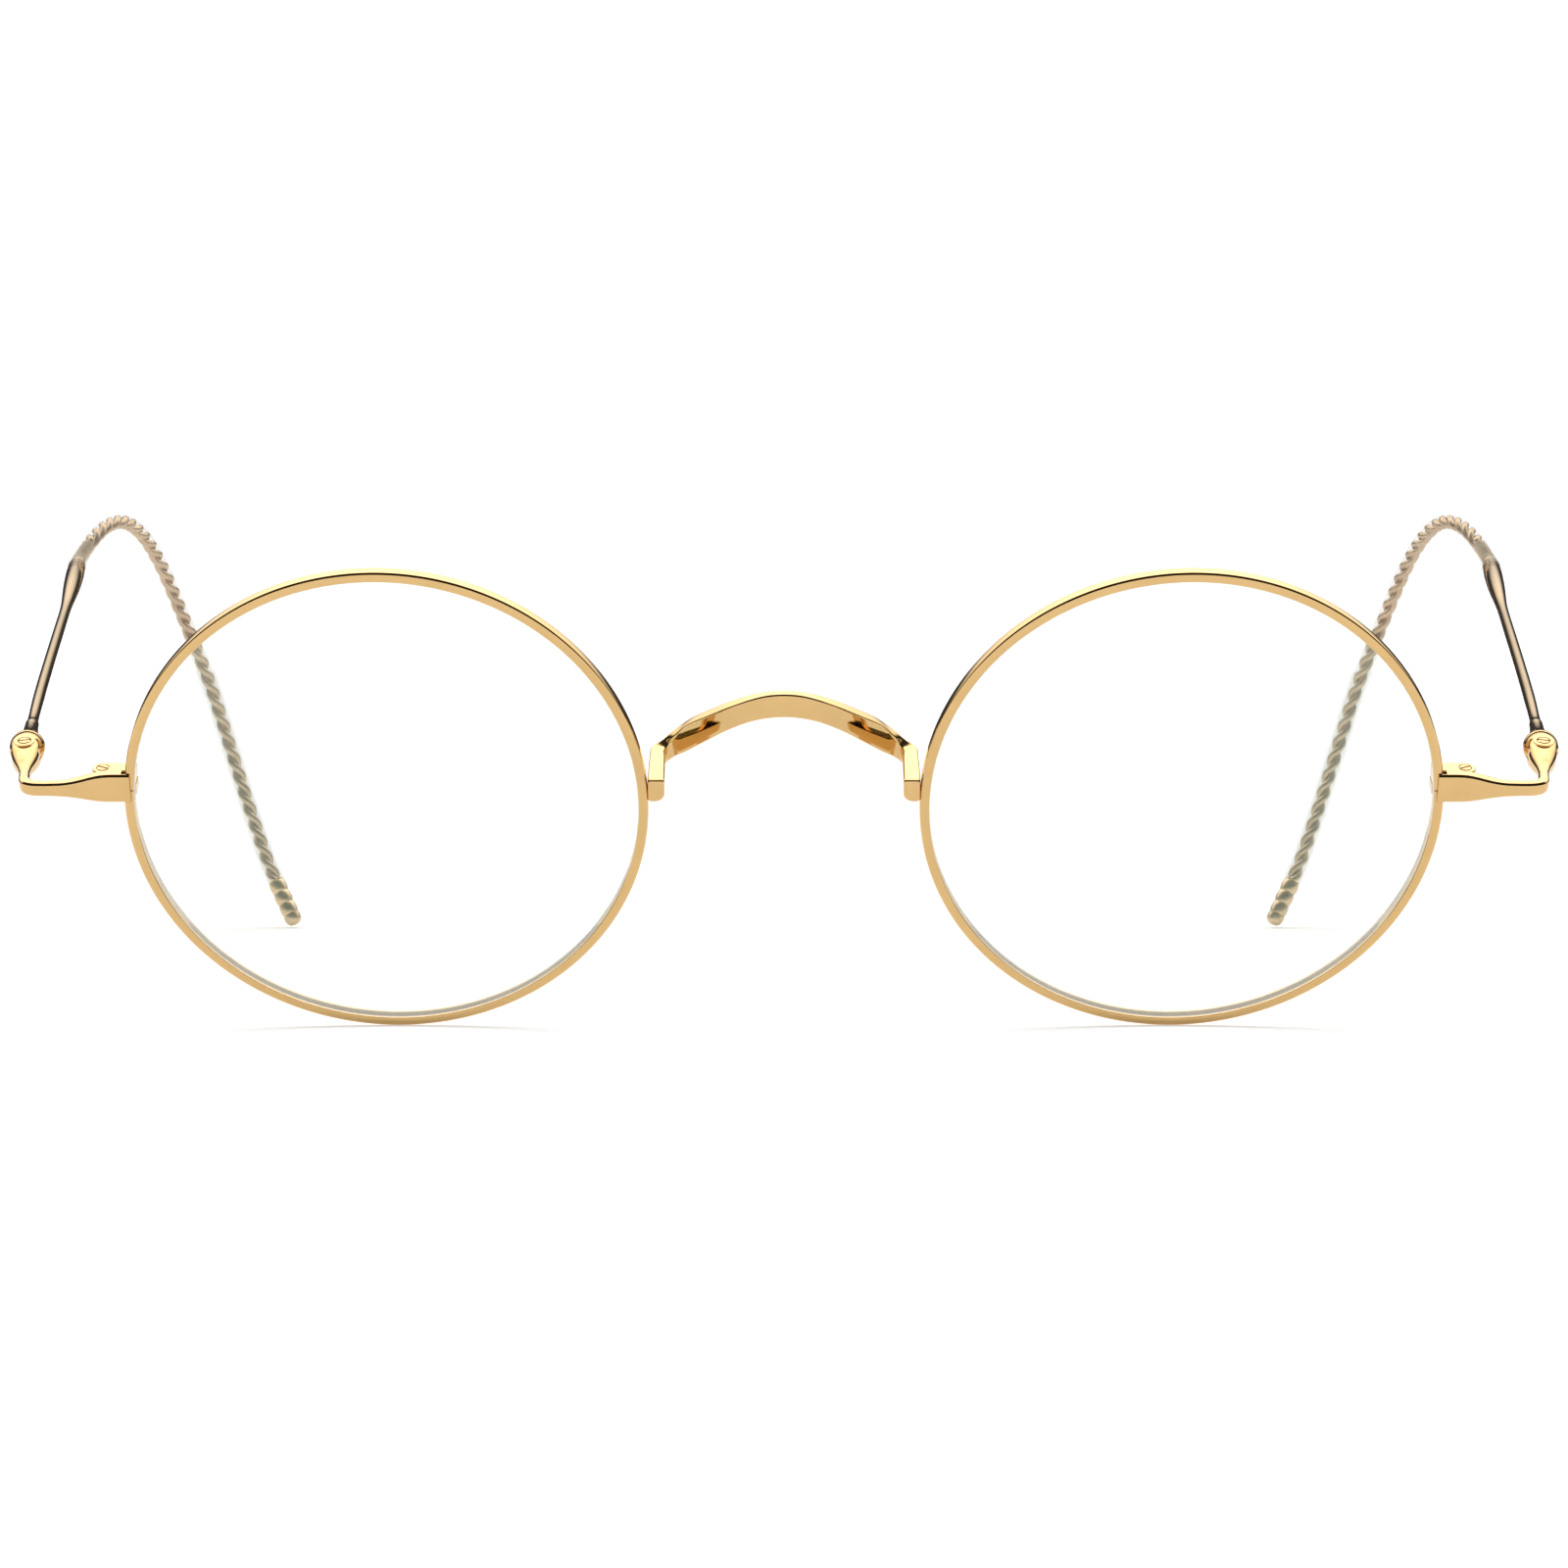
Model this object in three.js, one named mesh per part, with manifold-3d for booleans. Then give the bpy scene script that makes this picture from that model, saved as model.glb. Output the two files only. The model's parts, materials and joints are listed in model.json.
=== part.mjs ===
// Round wire spectacles with a saddle bridge and curled cable temples.
// Millimetres, +Z up. The frame stands on the two rims and the two temple tips.
// Inside the leaning group: +X is the wearer's left, +Y runs from the lenses back to
// the ears, +Z is up along the face, and the origin is midway between the lens centres
// on the front face of the rims.
import * as THREE from 'three';
import { mergeVertices } from 'three/addons/utils/BufferGeometryUtils.js';
import Module from 'manifold-3d';

const wasm = await Module();
wasm.setup();

// ---------------------------------------------------------------- driving dimensions
const LEAN_DEG = 27.05; // the front leans forward at the top when the frame stands

const LENS_SPACING = 68.0; // between lens centres: 44 mm eye + 24 mm bridge
const RIM_OUTER_R = 22.4;
const RIM_INNER_R = 21.64;
const RIM_DEPTH = 1.25;
const RIM_EDGE = 0.14; // rounding of the rim's outer edges
const GROOVE_DEPTH = 0.35;
const GROOVE_HALF_WIDTH = 0.36;
const GROOVE_V = 0.62; // distance of the lens groove behind the front face
const ROUND_STEPS = 64; // facets round a rim or a lens

const LENS_CLEARANCE = 0.05;
const LENS_THICKNESS = 1.5;
const LENS_CURVE_R = 110;

const ARM_INNER_U = 10.3; // bridge arms, between these two distances from the middle
const ARM_OUTER_U = 11.54;

const END_W = 1.74; // height of the endpiece bar and hinge above the lens centres
const PLATE_FRONT_V = -0.35;
const PLATE_THICKNESS = 1.24;
const PLATE_EDGE = 0.16;
const BAR_THICKNESS = 0.95;
const BAR_HEIGHT = 1.16;

const HINGE_U = 65.7;
const HINGE_V = 6.2;
const KNUCKLE_R = 1.26;
const TONGUE_SLOT = 1.0;
const TONGUE_THICKNESS = 0.88;
const HINGE_GAP = 0.1;
const HINGE_HOLE_R = 0.42;
const HINGE_SCREW_R = 0.35;
const HINGE_HEAD_R = 0.72;
const KNUCKLE_TOP_W = 3.05;
const KNUCKLE_BOTTOM_W = 0.43;

const LOCK_SEAM_W = 1.66;
const LOCK_SEAM = 0.12;
const LOCK_TOP_W = 2.85;
const LOCK_BOTTOM_W = 0.5;
const LOCK_SCREW_U = 58.3;
const LOCK_SCREW_V = 1.85;
const LOCK_SCREW_R = 0.35;
const LOCK_HEAD_R = 0.52;

const WIRE_R = 0.53;
const CABLE_R = 0.75;
const BINDING_R = 0.7;
const CORE_R = 0.42;
const SLEEVE_INNER_R = 0.84;
const SLEEVE_OUTER_R = 1.03;
const CAP_R = 0.975;
const BINDING_LENGTH = 5.4; // fine wire wrap between the arm's socket and the rope
const CAP_LENGTH = 5.6;

// The temple's arm is straight, from the hinge to the mouth of its socket.
const HINGE = new THREE.Vector3(HINGE_U, HINGE_V, END_W);
const SOCKET = new THREE.Vector3(74.2, 80.0, -17.4);
const ARM_LENGTH = HINGE.distanceTo(SOCKET);
const ARM_DIRECTION = SOCKET.clone().sub(HINGE).normalize();

// Route of the cable round the ear, measured like SOCKET. The last stretch is the tip.
const CABLE_ROUTE = [
  [74.0, 83.8, -17.65],
  [73.5, 86.9, -17.7],
  [72.9, 90.1, -18.05],
  [72.0, 93.5, -19.0],
  [71.2, 96.3, -20.7],
  [70.3, 98.9, -23.5],
  [69.5, 100.8, -26.7],
  [68.5, 102.4, -31.2],
  [67.2, 103.5, -36.9],
  [65.1, 103.3, -44.2],
  [63.0, 101.3, -51.5],
  [60.7, 97.5, -57.6],
  [58.5, 93.6, -62.2],
].map((p) => new THREE.Vector3(...p));
const CAP_MOUTH = new THREE.Vector3(57.6, 92.2, -63.65);
const CAP_TIP = new THREE.Vector3(55.0, 88.3, -67.5);

// ---------------------------------------------------------------- solids and transforms

// Drops everything but position, merges the vertices and turns the faces outward.
function closedBody(geometry) {
  const body = geometry.index ? geometry.toNonIndexed() : geometry.clone();
  for (const name of Object.keys(body.attributes)) {
    if (name !== 'position') body.deleteAttribute(name);
  }
  const merged = mergeVertices(body, 1e-4);
  const p = merged.attributes.position;
  const index = Array.from(merged.index.array);
  const a = new THREE.Vector3();
  const b = new THREE.Vector3();
  const c = new THREE.Vector3();
  const kept = [];
  let volume = 0;
  for (let i = 0; i < index.length; i += 3) {
    const [i0, i1, i2] = index.slice(i, i + 3);
    if (i0 === i1 || i1 === i2 || i2 === i0) continue;
    kept.push(i0, i1, i2);
    a.fromBufferAttribute(p, i0);
    b.fromBufferAttribute(p, i1);
    c.fromBufferAttribute(p, i2);
    volume += a.dot(b.cross(c));
  }
  if (volume < 0) kept.reverse();
  merged.setIndex(kept);
  return merged;
}

function solid(geometry) {
  const body = closedBody(geometry);
  return new wasm.Manifold(new wasm.Mesh({
    numProp: 3,
    vertProperties: new Float32Array(body.attributes.position.array),
    triVerts: new Uint32Array(body.index.array),
  }));
}

function geometryOf(manifold) {
  const mesh = manifold.getMesh();
  const geometry = new THREE.BufferGeometry();
  geometry.setAttribute('position', new THREE.BufferAttribute(mesh.vertProperties, 3));
  geometry.setIndex(new THREE.BufferAttribute(mesh.triVerts, 1));
  return geometry;
}

// Outline in (u, w), pushed back along v from `front`.
function plateSolid(shape, front, thickness, edge) {
  const geometry = new THREE.ExtrudeGeometry(shape, {
    depth: thickness - 2 * edge,
    bevelEnabled: edge > 0,
    bevelThickness: edge,
    bevelSize: edge,
    bevelOffset: -edge,
    bevelSegments: 1,
    curveSegments: 5,
  });
  const axes = new THREE.Matrix4().makeBasis(
    new THREE.Vector3(1, 0, 0), new THREE.Vector3(0, 0, 1), new THREE.Vector3(0, 1, 0));
  return geometry.applyMatrix4(axes).translate(0, front + edge, 0);
}

// Outline in (u, v), pushed up along w from `bottom`.
function planSolid(shape, bottom, height, edge) {
  return new THREE.ExtrudeGeometry(shape, {
    depth: height - 2 * edge,
    bevelEnabled: edge > 0,
    bevelThickness: edge,
    bevelSize: edge,
    bevelOffset: -edge,
    bevelSegments: 1,
    curveSegments: 5,
  }).translate(0, 0, bottom + edge);
}

// Cylinder along w.
function post(u, v, radius, bottom, top, steps = 24) {
  return new THREE.CylinderGeometry(radius, radius, top - bottom, steps)
    .rotateX(Math.PI / 2)
    .translate(u, v, (bottom + top) / 2);
}

function box(u0, u1, v0, v1, w0, w1) {
  return new THREE.BoxGeometry(u1 - u0, v1 - v0, w1 - w0)
    .translate((u0 + u1) / 2, (v0 + v1) / 2, (w0 + w1) / 2);
}

// Turned piece: a profile of [radius, distance along the axis], from `start` along
// `direction`.
function turned(profile, start, direction, steps) {
  const points = profile.map(([r, s]) => new THREE.Vector2(r, s));
  const turn = new THREE.Quaternion()
    .setFromUnitVectors(new THREE.Vector3(0, 1, 0), direction);
  return new THREE.LatheGeometry(points, steps)
    .applyQuaternion(turn)
    .translate(start.x, start.y, start.z);
}

function circle(radius, sides) {
  const points = [];
  for (let i = 0; i < sides; i += 1) {
    const angle = (2 * Math.PI * i) / sides;
    points.push(new THREE.Vector2(radius * Math.cos(angle), radius * Math.sin(angle)));
  }
  return points;
}

// Round bar, or a tube when `inner` is given, along a stretch of a curve.
function along(curve, from, to, outer, inner, sides, stepLength) {
  const length = curve.getLength();
  const steps = Math.max(2, Math.round((to - from) / stepLength));
  const points = [];
  for (let i = 0; i <= steps; i += 1) {
    const distance = from + ((to - from) * i) / steps;
    points.push(curve.getPointAt(THREE.MathUtils.clamp(distance / length, 0, 1)));
  }
  const stretch = new THREE.CatmullRomCurve3(points);
  const shape = new THREE.Shape(circle(outer, sides));
  if (inner > 0) shape.holes.push(new THREE.Path(circle(inner, sides)));
  return new THREE.ExtrudeGeometry(shape, {
    steps, extrudePath: stretch, curveSegments: 1, bevelEnabled: false,
  });
}

// Closed skin over rings of points that each have the same number of points.
function skin(rings) {
  const count = rings[0].length;
  const positions = rings.flat().flatMap((p) => [p.x, p.y, p.z]);
  const index = [];
  for (let r = 0; r + 1 < rings.length; r += 1) {
    for (let i = 0; i < count; i += 1) {
      const j = (i + 1) % count;
      const a = r * count + i;
      const b = r * count + j;
      index.push(a, b, b + count, a, b + count, a + count);
    }
  }
  const last = (rings.length - 1) * count;
  for (let i = 1; i + 1 < count; i += 1) {
    index.push(0, i + 1, i);
    index.push(last, last + i, last + i + 1);
  }
  const geometry = new THREE.BufferGeometry();
  geometry.setAttribute('position', new THREE.Float32BufferAttribute(positions, 3));
  geometry.setIndex(index);
  return geometry;
}

// ---------------------------------------------------------------- front

function rimGeometry() {
  const profile = [
    [RIM_INNER_R, 0],
    [RIM_OUTER_R - RIM_EDGE, 0],
    [RIM_OUTER_R, RIM_EDGE],
    [RIM_OUTER_R, RIM_DEPTH - RIM_EDGE],
    [RIM_OUTER_R - RIM_EDGE, RIM_DEPTH],
    [RIM_INNER_R, RIM_DEPTH],
    [RIM_INNER_R, GROOVE_V + GROOVE_HALF_WIDTH],
    [RIM_INNER_R + GROOVE_DEPTH, GROOVE_V],
    [RIM_INNER_R, GROOVE_V - GROOVE_HALF_WIDTH],
    [RIM_INNER_R, 0],
  ];
  const centre = new THREE.Vector3(LENS_SPACING / 2, 0, 0);
  const ring = turned(profile, centre, new THREE.Vector3(0, 1, 0), ROUND_STEPS);
  const seam = box(
    LENS_SPACING / 2 + RIM_INNER_R - 1, LENS_SPACING / 2 + RIM_OUTER_R + 1,
    -1, RIM_DEPTH + 1,
    LOCK_SEAM_W - LOCK_SEAM / 2, LOCK_SEAM_W + LOCK_SEAM / 2);
  return geometryOf(solid(ring).subtract(solid(seam)));
}

// Meniscus lens with a V bevel that sits in the rim's groove.
function lensGeometry() {
  const edgeR = RIM_INNER_R - LENS_CLEARANCE;
  const bevelR = edgeR + GROOVE_DEPTH;
  const front = GROOVE_V - LENS_THICKNESS / 2;
  const sag = (r) => LENS_CURVE_R - Math.sqrt(LENS_CURVE_R ** 2 - r ** 2);
  const faceRadii = [0, 0.4, 0.75, 1].map((f) => f * edgeR);
  const face = (v) => faceRadii.map((r) => [r, v - sag(edgeR) + sag(r)]);
  const profile = [
    ...face(front),
    [edgeR, GROOVE_V - GROOVE_HALF_WIDTH],
    [bevelR, GROOVE_V],
    [edgeR, GROOVE_V + GROOVE_HALF_WIDTH],
    ...face(front + LENS_THICKNESS).reverse(),
  ];
  const centre = new THREE.Vector3(LENS_SPACING / 2, 0, 0);
  return turned(profile, centre, new THREE.Vector3(0, 1, 0), ROUND_STEPS);
}

// Bridge: a band that runs straight back from each rim, folds inward and arches over
// the nose. Each station gives the face toward the middle (front of the arch), the
// face away from it (back of the arch), the band's lower and upper edge, how much
// higher the back edges lie, and the rounding of the lower front edge.
const BRIDGE_STATIONS = [
  { front: [ARM_INNER_U, 0], back: [ARM_OUTER_U, 0], w: [0.5, 2.6], rise: 0, round: 0.6 },
  { front: [ARM_INNER_U, 4.6], back: [ARM_OUTER_U, 5.1], w: [0.6, 2.6], rise: 0, round: 0.5 },
  { front: [10.28, 5.3], back: [11.52, 5.85], w: [0.75, 2.62], rise: 0, round: 0.4 },
  { front: [10.15, 5.75], back: [11.3, 6.2], w: [0.95, 2.7], rise: 0, round: 0.3 },
  { front: [9.85, 6.0], back: [10.65, 6.5], w: [1.2, 2.95], rise: 0.02, round: 0.2 },
  { front: [9.35, 5.97], back: [9.7, 6.7], w: [1.58, 3.7], rise: 0.05, round: 0.12 },
  { front: [8.5, 5.62], back: [8.1, 6.5], w: [2.2, 4.88], rise: 0.25, round: 0.12 },
  { front: [6.85, 4.8], back: [6.43, 5.64], w: [3.62, 6.12], rise: 0.38, round: 0.12 },
  { front: [4.87, 3.87], back: [4.52, 4.74], w: [5.26, 7.53], rise: 0.31, round: 0.12 },
  { front: [2.93, 3.13], back: [2.7, 4.06], w: [6.5, 8.69], rise: 0.15, round: 0.12 },
  { front: [1.45, 2.8], back: [1.36, 3.74], w: [7.03, 9.27], rise: 0.05, round: 0.12 },
  { front: [0, 2.7], back: [0, 3.64], w: [7.21, 9.44], rise: 0, round: 0.12 },
];

// Ring of points round the band at one station, on one side of the middle.
function bridgeRing(station, side) {
  const edge = 0.12;
  const [low, high] = station.w;
  const depth = Math.hypot(
    station.back[0] - station.front[0], station.back[1] - station.front[1]);
  const corner = (x, y, r, startAngle) => [0, 1, 2].map((i) => {
    const angle = startAngle + (i * Math.PI) / 4;
    return [x + r * Math.cos(angle), y + r * Math.sin(angle)];
  });
  const height = high - low;
  const r = station.round;
  const section = [
    ...corner(r, r, r, Math.PI),
    ...corner(depth - edge, edge, edge, 1.5 * Math.PI),
    ...corner(depth - edge, height - edge, edge, 0),
    ...corner(edge, height - edge, edge, 0.5 * Math.PI),
  ];
  return section.map(([x, y]) => {
    const t = x / depth;
    const u = THREE.MathUtils.lerp(station.front[0], station.back[0], t);
    const v = THREE.MathUtils.lerp(station.front[1], station.back[1], t);
    return new THREE.Vector3(side * u, v, low + y + station.rise * t);
  });
}

function bridgeGeometry() {
  const middle = BRIDGE_STATIONS.length - 1;
  const rings = [
    ...BRIDGE_STATIONS.map((station) => bridgeRing(station, 1)),
    ...BRIDGE_STATIONS.slice(0, middle).reverse().map((station) => bridgeRing(station, -1)),
  ];
  return skin(rings);
}

// ---------------------------------------------------------------- rim closing blocks

function lockOutline() {
  const inner = 55.5;
  const rimClear = 56.5;
  const behindRim = RIM_DEPTH + 0.06;
  const behindPlate = PLATE_FRONT_V + PLATE_THICKNESS + 0.06;
  const back = 2 * LOCK_SCREW_V - behindPlate;
  const shape = new THREE.Shape();
  shape.moveTo(inner, behindRim);
  shape.lineTo(rimClear, behindRim);
  shape.lineTo(rimClear, behindPlate);
  shape.lineTo(LOCK_SCREW_U, behindPlate);
  shape.absarc(LOCK_SCREW_U, LOCK_SCREW_V, (back - behindPlate) / 2,
    -Math.PI / 2, Math.PI / 2, false);
  shape.lineTo(inner, back);
  shape.closePath();
  return shape;
}

function lockGeometry(bottom, top, counterbore) {
  let block = solid(planSolid(lockOutline(), bottom, top - bottom, 0));
  block = block.subtract(solid(
    post(LOCK_SCREW_U, LOCK_SCREW_V, LOCK_SCREW_R + 0.07, bottom - 1, top + 1, 14)));
  if (counterbore > 0) {
    block = block.subtract(solid(
      post(LOCK_SCREW_U, LOCK_SCREW_V, LOCK_HEAD_R + 0.06, top - counterbore, top + 1, 16)));
  }
  return geometryOf(block);
}

// Slotted screw standing along w.
function screwGeometry(u, v, shankR, headR, bottom, headBottom, top) {
  const edge = 0.06;
  const profile = [
    [0, bottom], [shankR - edge, bottom], [shankR, bottom + edge],
    [shankR, headBottom], [headR, headBottom], [headR, top - edge],
    [headR - edge, top], [0, top],
  ];
  const body = turned(profile, new THREE.Vector3(u, v, 0), new THREE.Vector3(0, 0, 1), 14);
  const slotHalf = headR * 0.16;
  const slot = box(u - headR - 1, u + headR + 1, v - slotHalf, v + slotHalf,
    top - (top - headBottom) * 0.55, top + 1);
  return geometryOf(solid(body).subtract(solid(slot)));
}

// ---------------------------------------------------------------- endpiece

// Plate on the rim that narrows to the bar, seen from the front.
function plateOutline() {
  const low = 0.56;
  const high = 3.2;
  const barLow = END_W - BAR_HEIGHT / 2;
  const barHigh = END_W + BAR_HEIGHT / 2;
  const shape = new THREE.Shape();
  shape.moveTo(55.75, low);
  shape.lineTo(58.4, low);
  shape.bezierCurveTo(59.6, low, 59.9, barLow, 61.6, barLow);
  shape.lineTo(63.4, barLow);
  shape.lineTo(63.4, barHigh);
  shape.lineTo(62.2, barHigh);
  shape.bezierCurveTo(60.4, barHigh, 59.7, high - 0.1, 58.6, high);
  shape.lineTo(55.75, high);
  shape.closePath();
  return shape;
}

// Bar that turns back to the hinge, seen from above.
function bendOutline() {
  const front = PLATE_FRONT_V;
  const back = front + BAR_THICKNESS;
  const shape = new THREE.Shape();
  shape.moveTo(61.9, front);
  shape.lineTo(63.6, front);
  shape.bezierCurveTo(64.9, front, 65.68, 0.3, 65.72, 1.7);
  shape.lineTo(65.88, 3.4);
  shape.lineTo(64.86, 3.4);
  shape.lineTo(64.66, 2.2);
  shape.bezierCurveTo(64.6, 1.4, 64.3, back, 63.1, back);
  shape.lineTo(61.9, back);
  shape.closePath();
  return shape;
}

function endpieceGeometry() {
  const edge = PLATE_EDGE;
  const plate = solid(plateSolid(plateOutline(), PLATE_FRONT_V, PLATE_THICKNESS, edge));
  // Behind the bar the plate is thinner, and it keeps only a lip over the rim.
  const barBack = box(61.2, 64, PLATE_FRONT_V + BAR_THICKNESS, 3, -1, 5);
  const overRim = box(55, 56.47, -0.05, 3, -1, 5);
  const body = plate.subtract(solid(barBack)).subtract(solid(overRim));
  const bend = solid(planSolid(bendOutline(), END_W - BAR_HEIGHT / 2, BAR_HEIGHT, edge));

  // Bulb of the hinge, a little taller than wide, swelling out of the bend.
  const bulbProfile = [
    [0, -3.6], [0.42, -3.55], [0.52, -3.1], [0.58, -2.6], [0.76, -1.9], [1.07, -0.95],
    [KNUCKLE_R - 0.03, -0.2], [KNUCKLE_R, 0.2], [KNUCKLE_R, KNUCKLE_R + 0.1],
    [0, KNUCKLE_R + 0.1],
  ];
  const lean = new THREE.Vector3(0.1, 1, 0).normalize();
  const origin = new THREE.Vector3(0, 0, 0);
  const bulb = turned(bulbProfile, origin, lean, 16).scale(1, 1, 1.16)
    .translate(HINGE_U, HINGE_V, END_W);
  const roundEnd = solid(post(HINGE_U, HINGE_V, KNUCKLE_R, -2, 6, 20))
    .add(solid(box(HINGE_U - 3, HINGE_U + 3, 1, HINGE_V, -2, 6)));
  let knuckle = solid(bulb).intersect(roundEnd);
  knuckle = knuckle.intersect(
    solid(box(HINGE_U - 3, HINGE_U + 3, 0, 9, KNUCKLE_BOTTOM_W, KNUCKLE_TOP_W)));

  let piece = body.add(bend).add(knuckle);
  const slotR = KNUCKLE_R + 0.14;
  piece = piece.subtract(solid(
    post(HINGE_U, HINGE_V, slotR, END_W - TONGUE_SLOT / 2, END_W + TONGUE_SLOT / 2, 20)));
  piece = piece.subtract(solid(post(HINGE_U, HINGE_V, HINGE_HOLE_R, -2, 6, 12)));
  piece = piece.subtract(solid(
    post(HINGE_U, HINGE_V, HINGE_HEAD_R + 0.06, KNUCKLE_TOP_W - 0.22, 6, 16)));
  return geometryOf(piece);
}

// ---------------------------------------------------------------- temple

// Arm: tongue in the hinge, half bulb, wire and the flared socket for the cable.
function templeArmGeometry() {
  const profile = [
    [0, 1.0], [1.42, 1.0], [1.5, 1.5], [1.46, 2.2], [1.3, 3.0], [1.05, 3.9],
    [0.82, 5.2], [0.68, 7.0], [0.6, 8.8], [WIRE_R, 10.2], [WIRE_R, 32], [WIRE_R, 55],
    [0.58, 58], [0.68, 61], [0.82, 65], [0.9, 68.5], [0.92, 72], [0.88, 75],
    [0.8, ARM_LENGTH], [0, ARM_LENGTH],
  ];
  let arm = solid(turned(profile, HINGE, ARM_DIRECTION, 12));
  const clearR = KNUCKLE_R + HINGE_GAP;
  arm = arm.subtract(solid(post(HINGE_U, HINGE_V, clearR, -4, 6, 20)));
  const tongueLow = END_W - TONGUE_THICKNESS / 2;
  const tongueHigh = END_W + TONGUE_THICKNESS / 2;
  const tongue = solid(post(HINGE_U, HINGE_V, KNUCKLE_R - 0.04, tongueLow, tongueHigh, 20))
    .add(solid(box(
      HINGE_U - 0.8, HINGE_U + 0.9, HINGE_V, HINGE_V + 2.1, tongueLow, tongueHigh)));
  arm = arm.add(tongue);
  arm = arm.subtract(solid(post(HINGE_U, HINGE_V, HINGE_HOLE_R, -2, 6, 12)));
  const boreProfile = [
    [0, ARM_LENGTH - 3], [CORE_R + 0.08, ARM_LENGTH - 3],
    [CORE_R + 0.08, ARM_LENGTH + 1], [0, ARM_LENGTH + 1],
  ];
  return geometryOf(arm.subtract(solid(turned(boreProfile, HINGE, ARM_DIRECTION, 12))));
}

// Centre line from inside the socket to inside the tip cap.
const CORE_START = 2.6; // how far the cable's core reaches into the socket
const CAP_INSET = 1.3; // how far the cable reaches into the cap
const capDirection = CAP_TIP.clone().sub(CAP_MOUTH).normalize();
const cableCurve = new THREE.CatmullRomCurve3([
  SOCKET.clone().addScaledVector(ARM_DIRECTION, -CORE_START),
  SOCKET,
  SOCKET.clone().addScaledVector(ARM_DIRECTION, 1.6),
  ...CABLE_ROUTE,
  CAP_MOUTH,
  CAP_MOUTH.clone().addScaledVector(capDirection, CAP_INSET),
], false, 'centripetal');
const CABLE_LENGTH = cableCurve.getLength();
const ROPE_START = CORE_START + BINDING_LENGTH;

function cableGeometry() {
  const core = solid(along(cableCurve, 0, ROPE_START + 1, CORE_R, 0, 8, 1.5));
  const rope = solid(along(cableCurve, ROPE_START, CABLE_LENGTH, CABLE_R, 0, 8, 3));
  return geometryOf(core.add(rope));
}

function bindingGeometry() {
  return along(cableCurve, CORE_START + 0.12, ROPE_START - 0.1,
    BINDING_R, CORE_R + 0.08, 10, 1.3);
}

// Clear sleeve: a wider mouth pushed over the socket, then a tube along the cable.
function sleeveGeometry() {
  const mouth = [
    [0.99, ARM_LENGTH - 3.2], [1.16, ARM_LENGTH - 3.2], [1.16, ARM_LENGTH + 0.2],
    [SLEEVE_OUTER_R, ARM_LENGTH + 0.7], [SLEEVE_OUTER_R, ARM_LENGTH + 1.0],
    [SLEEVE_INNER_R, ARM_LENGTH + 1.0], [SLEEVE_INNER_R, ARM_LENGTH + 0.4],
    [0.99, ARM_LENGTH + 0.1], [0.99, ARM_LENGTH - 3.2],
  ];
  const tube = along(cableCurve, CORE_START + 0.8, CABLE_LENGTH - CAP_INSET - 0.15,
    SLEEVE_OUTER_R, SLEEVE_INNER_R, 8, 2);
  return geometryOf(solid(turned(mouth, HINGE, ARM_DIRECTION, 16)).add(solid(tube)));
}

// Tip cap: a small turned cup with three shallow beads and a rounded end.
function capGeometry() {
  const groove = 0.1;
  const profile = [
    [0, CAP_INSET + 0.1], [CABLE_R + 0.08, CAP_INSET + 0.1], [CABLE_R + 0.08, 0],
    [CAP_R - 0.04, 0], [CAP_R, 0.08],
  ];
  for (const s of [1.35, 2.75, 4.1]) {
    profile.push([CAP_R, s - 0.3], [CAP_R - groove, s], [CAP_R, s + 0.3]);
  }
  profile.push([CAP_R, CAP_LENGTH - 0.55], [CAP_R - 0.14, CAP_LENGTH - 0.2],
    [CAP_R - 0.45, CAP_LENGTH], [0, CAP_LENGTH]);
  return turned(profile, CAP_MOUTH, capDirection, 14);
}

// ---------------------------------------------------------------- assembly

const gold = () => new THREE.MeshStandardMaterial({
  color: 0xdfb878, roughness: 0.12, metalness: 1,
});
const tipGold = () => new THREE.MeshStandardMaterial({
  color: 0xcdb48c, roughness: 0.3, metalness: 1,
});
const clearLens = () => new THREE.MeshStandardMaterial({
  color: 0xf2f6f4, roughness: 0.03, metalness: 0, transparent: true, opacity: 0.15,
});
const clearSleeve = () => new THREE.MeshStandardMaterial({
  color: 0xf3efe8, roughness: 0.15, metalness: 0, transparent: true, opacity: 0.35,
});

function named(name, geometry, material, side = 1) {
  const shape = side < 0 ? geometry.clone().scale(-1, 1, 1) : geometry;
  const body = closedBody(shape);
  body.computeVertexNormals();
  const mesh = new THREE.Mesh(body, material);
  mesh.name = name;
  return mesh;
}

// Builders of everything that comes once on each side, for the wearer's left.
const FRONT_PIECES = [
  ['rim', rimGeometry, gold],
  ['lens', lensGeometry, clearLens],
  ['endpiece', endpieceGeometry, gold],
  ['rim_lock_upper', () => lockGeometry(LOCK_SEAM_W + 0.06, LOCK_TOP_W, 0.28), gold],
  ['rim_lock_lower', () => lockGeometry(LOCK_BOTTOM_W, LOCK_SEAM_W - 0.06, 0), gold],
  ['rim_lock_screw', () => screwGeometry(LOCK_SCREW_U, LOCK_SCREW_V, LOCK_SCREW_R,
    LOCK_HEAD_R, LOCK_BOTTOM_W + 0.1, LOCK_TOP_W - 0.22, LOCK_TOP_W + 0.04), gold],
  ['hinge_screw', () => screwGeometry(HINGE_U, HINGE_V, HINGE_SCREW_R, HINGE_HEAD_R,
    KNUCKLE_BOTTOM_W + 0.05, KNUCKLE_TOP_W - 0.16, KNUCKLE_TOP_W + 0.08), gold],
];
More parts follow.
